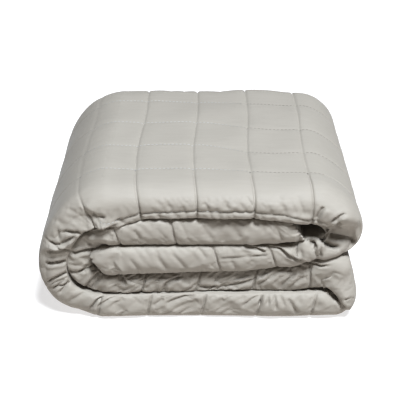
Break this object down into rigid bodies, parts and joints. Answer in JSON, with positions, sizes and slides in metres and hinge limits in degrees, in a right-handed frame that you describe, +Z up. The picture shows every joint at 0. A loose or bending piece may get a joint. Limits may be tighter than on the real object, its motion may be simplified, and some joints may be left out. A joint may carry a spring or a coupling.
{
  "type": "folded quilt",
  "caption": "Box-stitched padded quilt in plain light grey satin cloth, folded back and forth into a soft rectangular bundle that lies flat.",
  "frame": {"origin": "centre of the bundle's outline, on the surface that it lies on", "axes": "+Z up, -Y towards the side where the layers' rounded folds show, +X towards the roll at the right-hand end"},
  "size_m": [0.433, 0.3608, 0.2018],
  "materials": {
    "quilt_cloth": "soft satin weave, warm light grey"
  },
  "bodies": {
    "root": {"quilt": "quilt_cloth"}
  },
  "joints": []
}
